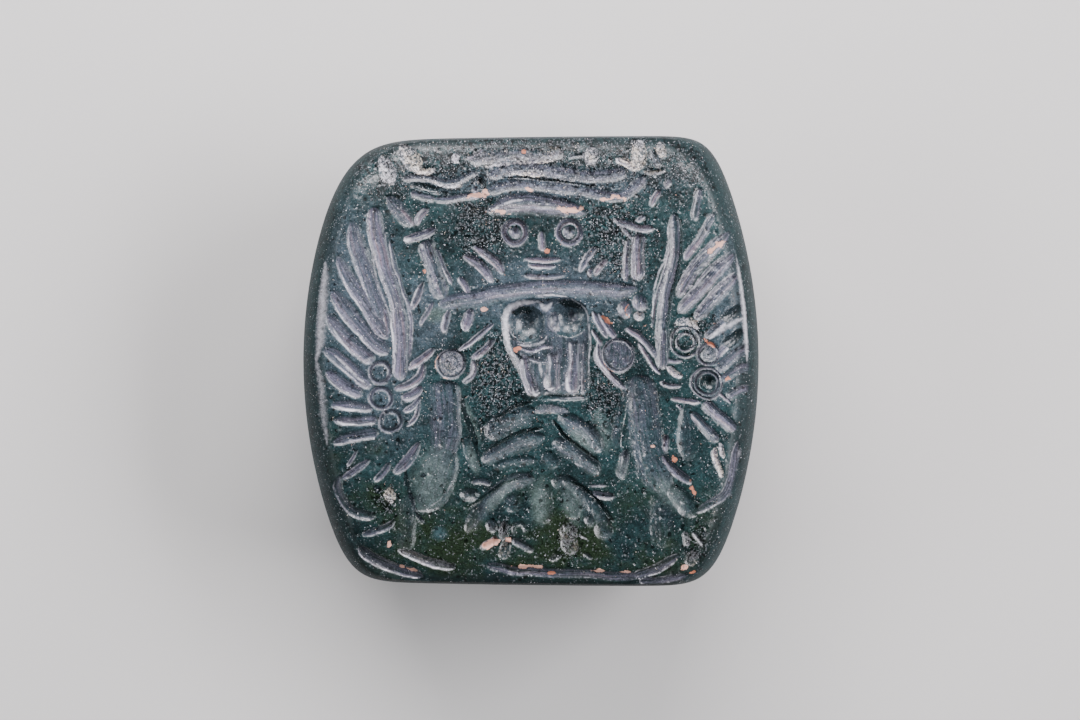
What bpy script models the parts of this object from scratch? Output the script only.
"""Seal bead: a cushion-shaped stone, drilled end to end for a string and carved on its face.

The bead lies on its back. X runs across the carved scene, Y runs up it and Z points out of the face.
The origin is the middle of the small flat spot that the bead rests on.

The carving is sunk into the face, as a seal cutter does it: long gouges cut with a wheel, cups cut
with a ball drill and rings cut with a tube drill. A goddess stands in the middle under a frame of
snakes, with her arms raised, between two griffins that rear up with their wings spread.
"""

import math

import bmesh
import bpy
import numpy as np

MM = 0.001  # every length below is in millimetres, and this turns one into metres

# The blank: a pillow with bowed sides, rounded corners and a slightly domed face and back
WIDTH = 22.8
HEIGHT = 22.5
THICKNESS = 8.4
SIDE_BOW = 0.215  # share of the half width that a long side loses towards its corners
END_BOW = 0.015  # the same for the two short ends
CORNER_POWER = 11.0  # a higher power makes squarer corners
FACE_DOME = 0.75
ARRIS_FALL = 0.4
ARRIS_POWER = 12.0
WALL_TOP = THICKNESS - FACE_DOME - ARRIS_FALL
WALL_FOOT = 1.9
WALL_START = math.radians(22)  # the wall's section is part of an ellipse, from here at the face
WALL_END = math.radians(172)  # to here at the back
SIDE_BULGE = 0.75
END_BULGE = 0.4
FOOT_BULGE = 1.5
WALL_RINGS = 12
BACK_RINGS = 6
BACK_DOME = 2.4
FLAT_SPOT_DEPTH = BACK_DOME - WALL_FOOT  # what is ground off the domed back to make it lie still

# The string hole, from end to end below the carving
HOLE_WIDTH = 2.2
HOLE_HEIGHT = 4.1
HOLE_SIDES = 24

# The mesh
FACE_CELLS = 230
TRIANGLES_KEPT = 0.066
STONE_COLOUR = (0.022, 0.052, 0.046, 1.0)
STONE_ROUGHNESS = 0.32

SIDES = (-1, 1)


def clear_scene():
    for item in list(bpy.data.objects):
        bpy.data.objects.remove(item, do_unlink=True)


def blend(first, last, share):
    """The point a share of the way from one point to another."""
    return tuple(a + (b - a) * share for a, b in zip(first, last))


def shares(count):
    """Even steps from 0 to 1."""
    return [step / (count - 1) for step in range(count)]


class Face:
    """The carved face: how deep the cuts go under each of its points."""

    def __init__(self, x, y):
        self.x = x
        self.y = y
        self.depth = np.zeros_like(x)

    def deepen(self, cut):
        self.depth = np.maximum(self.depth, cut)

    def gouge(self, start, end, width, depth, sag=0.0, run_out=0.3):
        """A round-bottomed cut from start to end, bowed to its left by sag, shallowing at both ends."""
        (x0, y0), (x1, y1) = start, end
        length = math.hypot(x1 - x0, y1 - y0)
        along_x, along_y = (x1 - x0) / length, (y1 - y0) / length
        off_x, off_y = self.x - x0, self.y - y0
        along = (off_x * along_x + off_y * along_y) / length
        across = off_y * along_x - off_x * along_y - 4 * sag * along * (1 - along)
        to_end = np.clip(np.minimum(along, 1 - along) / run_out, 0, 1)
        swell = np.sqrt(1 - (1 - to_end) ** 2)
        half_width = np.maximum(width / 2 * swell, 1e-6)
        self.deepen(depth * swell * np.clip(1 - (across / half_width) ** 2, 0, 1))

    def cup(self, centre, width, depth, height=None, fall=2.0):
        """A drilled hollow; a higher fall gives it a flatter floor."""
        reach_x = width / 2
        reach_y = (height or width) / 2
        distance = np.hypot((self.x - centre[0]) / reach_x, (self.y - centre[1]) / reach_y)
        self.deepen(depth * np.clip(1 - distance**fall, 0, 1))

    def ring(self, centre, radius, width, depth):
        """A groove left by a tube drill."""
        distance = np.hypot(self.x - centre[0], self.y - centre[1])
        self.deepen(depth * np.clip(1 - ((distance - radius) / (width / 2)) ** 2, 0, 1))

    def fan(self, tips, roots, count, width, depth, sag=0.0):
        """Feathers side by side: tips and roots each give where the first and the last one lie."""
        for share in shares(count):
            self.gouge(blend(*tips, share), blend(*roots, share), width, depth, sag, run_out=0.4)


def carve_snake_frame(face):
    """Three bowed snakes one above another, with their heads turned up at both sides."""
    for level, half_length in ((8.75, 3.4), (9.45, 3.7), (10.3, 2.4)):
        face.gouge((0.6 - half_length, level), (0.6 + half_length, level), 0.6, 0.2, 0.15, 0.1)
    for level in (8.3, 9.2):
        face.gouge((-6.4, level + 0.1), (-2.4, level + 0.2), 0.55, 0.2, -0.2)
    face.gouge((3.9, 8.4), (5.9, 9.4), 0.5, 0.2)
    for centre, height in (((-7.2, 9.6), 1.6), ((-6.1, 10.0), 1.7), ((5.3, 10.2), 1.7), ((6.4, 10.3), 1.2)):
        face.cup(centre, 0.85, 0.35, height)
    face.cup((2.95, 10.2), 0.75, 0.3, 0.95)


def carve_head(face):
    """A plain mask of drilled eyes, brow, nose, mouth and chin, with locks of hair beside the neck."""
    middle = 0.45
    eye_line = 6.5
    face.gouge((middle - 2.6, eye_line + 1.0), (middle + 2.2, eye_line + 1.0), 1.0, 0.3, 0.55)
    for side in SIDES:
        face.ring((middle + side * 1.5, eye_line), 0.6, 0.4, 0.28)
        face.fan(
            ((middle + side * 3.4, 5.7), (middle + side * 4.0, 4.9)),
            ((middle + side * 2.0, 4.5), (middle + side * 2.6, 3.9)),
            2,
            0.5,
            0.2,
        )
    face.gouge((middle, eye_line + 0.3), (middle, eye_line - 0.6), 0.4, 0.18)
    for level in (5.45, 4.9, 4.45):
        face.gouge((middle - 1.2, level), (middle + 1.2, level), 0.4, 0.2, 0.05)


def carve_arms(face):
    """One bar for both shoulders, with the forearms raised from its ends and the hands open."""
    face.gouge((-4.8, 2.9), (5.3, 3.4), 0.8, 0.28, 0.45, 0.12)
    for elbow, wrist in (((-4.4, 3.0), (-5.5, 6.1)), ((5.2, 3.7), (5.35, 6.5))):
        out = math.copysign(1, wrist[0])
        hand = (wrist[0] + out * 0.1, wrist[1] + 0.25)
        face.gouge(elbow, wrist, 0.9, 0.3, run_out=0.15)
        face.gouge((hand[0] - 1.0, hand[1]), (hand[0] + 1.0, hand[1]), 0.5, 0.24)
        face.gouge((hand[0] - out * 0.3, hand[1] + 0.3), (hand[0] + out * 0.3, hand[1] + 1.3), 0.45, 0.2)
        face.gouge((hand[0] + out * 0.4, hand[1] + 0.5), (hand[0] + out * 1.5, hand[1] + 2.0), 0.6, 0.2)
    face.fan(((-6.0, 2.6), (-3.4, 1.6)), ((-5.4, 3.9), (-3.0, 2.7)), 4, 0.45, 0.2)
    for centre in ((4.65, 2.6), (5.4, 2.7)):
        face.cup(centre, 0.7, 0.22, 0.95)


def carve_bodice(face):
    """A sunk bodice with two drilled breasts above a row of pleats and a belt."""
    middle = 0.8
    face.cup((middle, 0.8), 4.0, 0.2, 5.0, 5.0)
    for side in SIDES:
        face.cup((middle + side * 1.1, 1.95), 1.9, 0.45)
    face.gouge((middle - 1.6, 0.6), (middle + 0.8, 0.6), 0.4, 0.24)
    for pleat in shares(5):
        foot = middle - 0.75 + 2.2 * pleat
        face.gouge((foot - 0.2 * (1 - pleat), 0.2), (foot, -1.6), 0.42, 0.34, run_out=0.2)
    for level in (-1.85, -2.35):
        face.gouge((middle - 0.9, level), (middle + 1.7, level), 0.4, 0.2)


def carve_skirt(face):
    """Flounces that fall to both sides, a flared hem and the two feet."""
    middle = 0.7
    for side in SIDES:
        for tier in range(3):
            top = -2.6 - 1.2 * tier
            face.gouge(
                (middle + side * 0.3, top),
                (middle + side * (2.8 - 0.3 * tier), top - 1.5 + 0.2 * tier),
                1.0 - 0.1 * tier,
                0.3 - 0.03 * tier,
                -side * 0.15,
            )
        face.gouge((middle, -6.1), (middle + side * 3.6, -8.9), 0.85, 0.28, -side * 0.5)
        face.gouge((middle + side * 0.5, -6.7), (middle + side * 0.9, -8.1), 0.8, 0.22)
        face.gouge((middle + side * 1.3 - 0.3, -8.0), (middle + side * 1.4 - 0.3, -9.5), 0.6, 0.26)
        face.cup((middle + side * 3.35 - 0.3, -6.55), 1.1, 0.24, 0.65)


def carve_wing(face, side, shoulder):
    """One spread wing: two long leading quills, flight feathers and drilled joints."""
    for offset in (0.0, 0.45):
        face.gouge(
            (side * (shoulder + 0.7 - offset), 7.4),
            (side * (shoulder - offset), -0.6),
            0.55,
            0.26,
            -side * 0.5,
            0.1,
        )
    upper_tips = ((side * 9.1, 7.3), (side * 10.3, 2.7))
    upper_roots = ((side * 7.8, 4.2), (side * 8.0, 0.6))
    face.fan(upper_tips, upper_roots, 5, 0.65, 0.28, side * 0.12)
    lower_tips = ((side * 10.7, 0.9), (side * 9.7, -3.9))
    lower_roots = ((side * 8.9, -0.4), (side * 7.9, -3.2))
    face.fan(lower_tips, lower_roots, 6, 0.5, 0.26)
    for centre in ((7.7, 0.1), (7.8, -1.3), (7.4, -2.6)):
        face.ring((side * centre[0], centre[1]), 0.55, 0.34, 0.28)


def carve_griffin(face, side, chest):
    """One rearing griffin: drilled head, beak, long body, legs, paws and a raised tail."""
    x = side * chest
    head = (x - side * 0.3, 0.1)
    face.ring(head, 0.65, 0.42, 0.3)
    face.cup(head, 0.9, 0.2)
    for lift in (0.0, 0.8):
        face.gouge((head[0] - side * 0.9, 0.3 + lift), (head[0] - side * 2.0, 1.2 + lift), 0.4, 0.2)
    haunch = (x + side * 1.3, -6.3)
    face.gouge((x, -0.6), haunch, 1.9, 0.36, side * 0.4, 0.15)
    face.gouge((x - side * 0.9, -1.2), (x - side * 1.5, -4.2), 0.45, 0.3, -side * 0.1)
    face.gouge((x - side * 0.8, -3.6), (x - side * 1.6, -5.6), 0.6, 0.26)
    face.gouge(haunch, (x + side * 1.6, -9.7), 1.2, 0.34)
    face.gouge(haunch, (x + side * 3.2, -7.8), 0.9, 0.26)
    face.gouge((x + side * 3.2, -7.8), (x + side * 5.3, -4.4), 0.46, 0.26, side * 0.9)
    tufts_from = ((x + side * 1.2, -4.2), (x + side * 3.4, -4.9))
    tufts_to = ((x + side * 2.4, -5.6), (x + side * 4.4, -6.0))
    face.fan(tufts_from, tufts_to, 3, 0.45, 0.2)


def carve_ground_line(face):
    """The line that everybody stands on, with the griffins' paws at its ends."""
    face.gouge((-2.5, -10.2), (5.5, -10.8), 0.48, 0.24, 0.05, 0.1)
    for side in SIDES:
        face.gouge((side * 8.4, -9.5), (side * 5.4, -10.8), 0.5, 0.25, side * 0.15)
        face.gouge((side * 7.1, -9.6), (side * 4.4, -10.5), 0.46, 0.25)


def carve_scene(x, y):
    """The depth of the whole carving under each point of the face."""
    face = Face(x, y)
    carve_snake_frame(face)
    carve_head(face)
    carve_arms(face)
    carve_bodice(face)
    carve_skirt(face)
    for side, shoulder, chest in ((-1, 6.9, 4.4), (1, 6.5, 4.9)):
        carve_wing(face, side, shoulder)
        carve_griffin(face, side, chest)
    carve_ground_line(face)
    return face.depth


def outline(u, v, side_inset, end_inset):
    """Where a point of the square from -1 to 1 lies on the pillow's plan, kept inside its edges."""
    square = np.maximum(np.abs(u), np.abs(v))
    rounded = (np.abs(u) ** CORNER_POWER + np.abs(v) ** CORNER_POWER) ** (1 / CORNER_POWER)
    pull = 1 + (square / np.maximum(rounded, 1e-9) - 1) * square**4
    u = u * pull
    v = v * pull
    x = u * (WIDTH / 2 * (1 - SIDE_BOW * v**2) - side_inset)
    y = v * (HEIGHT / 2 * (1 - END_BOW * u**2) - end_inset)
    return x, y


def wall_insets(angle):
    """How far the bulging wall stands inside the bead's widest outline, along X and along Y."""
    inset = 1 - math.sin(angle)
    if angle > math.pi / 2:
        return FOOT_BULGE * inset, FOOT_BULGE * inset
    return SIDE_BULGE * inset, END_BULGE * inset


def face_points():
    """The domed face as a grid of points, with the carving sunk into it."""
    steps = np.linspace(-1, 1, FACE_CELLS + 1)
    u, v = np.meshgrid(steps, steps)
    x, y = outline(u, v, *wall_insets(WALL_START))
    to_edge = (u**8 + v**8) ** 0.125
    z = THICKNESS - FACE_DOME * (u**2 + v**2) / 2 - ARRIS_FALL * to_edge**ARRIS_POWER
    return np.stack([x, y, z - carve_scene(x, y)], axis=-1)


def rim_square():
    """The square's edge, walked round once, as u and v at each face cell."""
    steps = np.linspace(-1, 1, FACE_CELLS + 1)[:-1]
    edge = np.ones(FACE_CELLS)
    u = np.concatenate([steps, edge, -steps, -edge])
    v = np.concatenate([-edge, steps, edge, -steps])
    return u, v


def wall_and_back_rings():
    """Rings of points from under the arris, down the bulging wall and in over the domed back."""
    u, v = rim_square()
    rings = []
    for step in range(1, WALL_RINGS + 1):
        angle = WALL_START + (WALL_END - WALL_START) * step / WALL_RINGS
        drop = (math.cos(WALL_START) - math.cos(angle)) / (math.cos(WALL_START) - math.cos(WALL_END))
        x, y = outline(u, v, *wall_insets(angle))
        corner_rise = FACE_DOME * (1 - (u**2 + v**2) / 2)
        top = WALL_TOP + corner_rise
        z = top + (WALL_FOOT - top) * drop
        rings.append(np.stack([x, y, z], axis=-1))
    x, y = outline(u, v, *wall_insets(WALL_END))
    for step in range(1, BACK_RINGS + 1):
        share = 1 - 0.9 * step / BACK_RINGS
        z = np.full_like(x, BACK_DOME * share**2 - FLAT_SPOT_DEPTH)
        rings.append(np.stack([x * share, y * share, z], axis=-1))
    return rings


def build_blank():
    """The carved pillow as one closed mesh, before the hole and the flat spot."""
    grid = face_points()
    mesh = bmesh.new()
    verts = [[mesh.verts.new(point * MM) for point in row] for row in grid]
    for lower, upper in zip(verts, verts[1:]):
        for corner in range(FACE_CELLS):
            mesh.faces.new((lower[corner], lower[corner + 1], upper[corner + 1], upper[corner]))
    bottom_row = verts[0][:-1]
    right_column = [row[-1] for row in verts[:-1]]
    top_row = verts[-1][:0:-1]
    left_column = [row[0] for row in verts[:0:-1]]
    above = bottom_row + right_column + top_row + left_column
    for ring in wall_and_back_rings():
        below = [mesh.verts.new(point * MM) for point in ring]
        for here in range(len(ring)):
            behind = here - 1
            mesh.faces.new((above[behind], below[behind], below[here], above[here]))
        above = below
    mesh.faces.new(list(reversed(above)))
    data = bpy.data.meshes.new("seal_bead")
    mesh.to_mesh(data)
    mesh.free()
    return data


def stone_material():
    material = bpy.data.materials.new("dark_green_jasper")
    material.use_nodes = True
    shader = material.node_tree.nodes["Principled BSDF"]
    shader.inputs["Base Color"].default_value = STONE_COLOUR
    shader.inputs["Roughness"].default_value = STONE_ROUGHNESS
    shader.inputs["Metallic"].default_value = 0.0
    return material


def add_cutter(bead, cutter, name):
    """Take a guide shape away from the bead."""
    cutter.name = name
    cutter.hide_render = True
    cutter.display_type = "WIRE"
    cut = bead.modifiers.new(name, "BOOLEAN")
    cut.operation = "DIFFERENCE"
    cut.solver = "EXACT"
    cut.object = cutter


def build_bead():
    bead = bpy.data.objects.new("seal_bead", build_blank())
    bpy.context.collection.objects.link(bead)
    bead.data.materials.append(stone_material())

    fewer = bead.modifiers.new("fewer_triangles", "DECIMATE")
    fewer.ratio = TRIANGLES_KEPT

    bpy.ops.mesh.primitive_cylinder_add(
        vertices=HOLE_SIDES,
        radius=HOLE_WIDTH / 2 * MM,
        depth=2 * HEIGHT * MM,
        location=(0, 0, HOLE_HEIGHT * MM),
        rotation=(math.pi / 2, 0, 0),
    )
    add_cutter(bead, bpy.context.object, "string_hole_cutter")

    slab = 2 * WIDTH * MM
    bpy.ops.mesh.primitive_cube_add(size=slab, location=(0, 0, -slab / 2))
    add_cutter(bead, bpy.context.object, "flat_spot_cutter")

    bead.data.shade_smooth()
    bead.data.set_sharp_from_angle(angle=math.radians(40))
    return bead


clear_scene()
build_bead()
